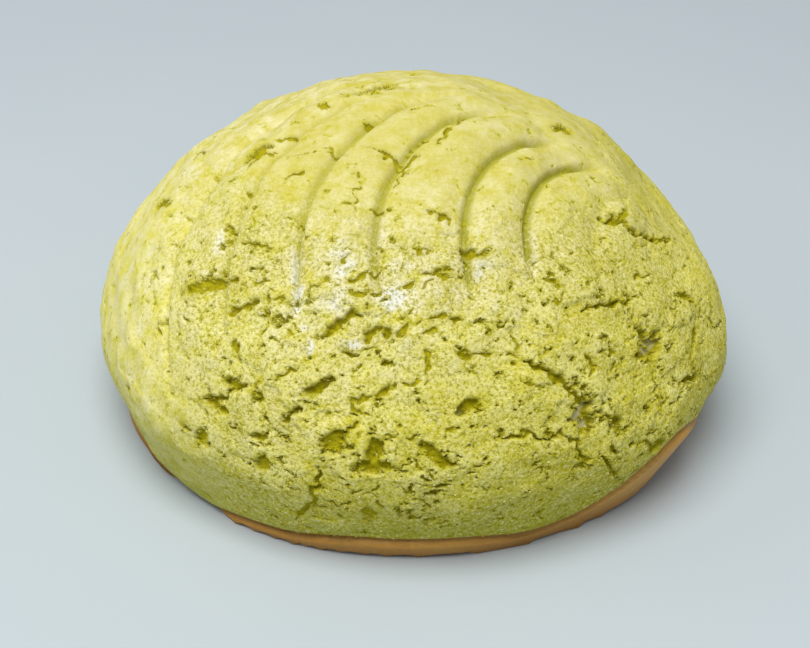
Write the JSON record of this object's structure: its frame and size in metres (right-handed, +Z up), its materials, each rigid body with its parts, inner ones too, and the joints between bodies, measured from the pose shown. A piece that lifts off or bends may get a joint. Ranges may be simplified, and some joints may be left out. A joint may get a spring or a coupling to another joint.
{
  "type": "matcha concha sweet bun",
  "caption": "Round baked sweet bun under a green matcha cookie crust pressed with curved shell ribs; stands on its flat browned underside.",
  "frame": {"origin": "middle of the flat underside", "axes": "+Z up from the underside to the crown; +X across the bun's width, towards the hinge that the shell ribs fan out from; -Y is the front, where the ribs end"},
  "size_m": [0.1168, 0.1136, 0.0602],
  "materials": {
    "crust": "matt baked matcha cookie dough with a sandy sugared grain",
    "bread": "golden brown baked bread skin, slightly shiny"
  },
  "bodies": {
    "root": {"crust": "crust", "bread": "bread"}
  },
  "joints": []
}
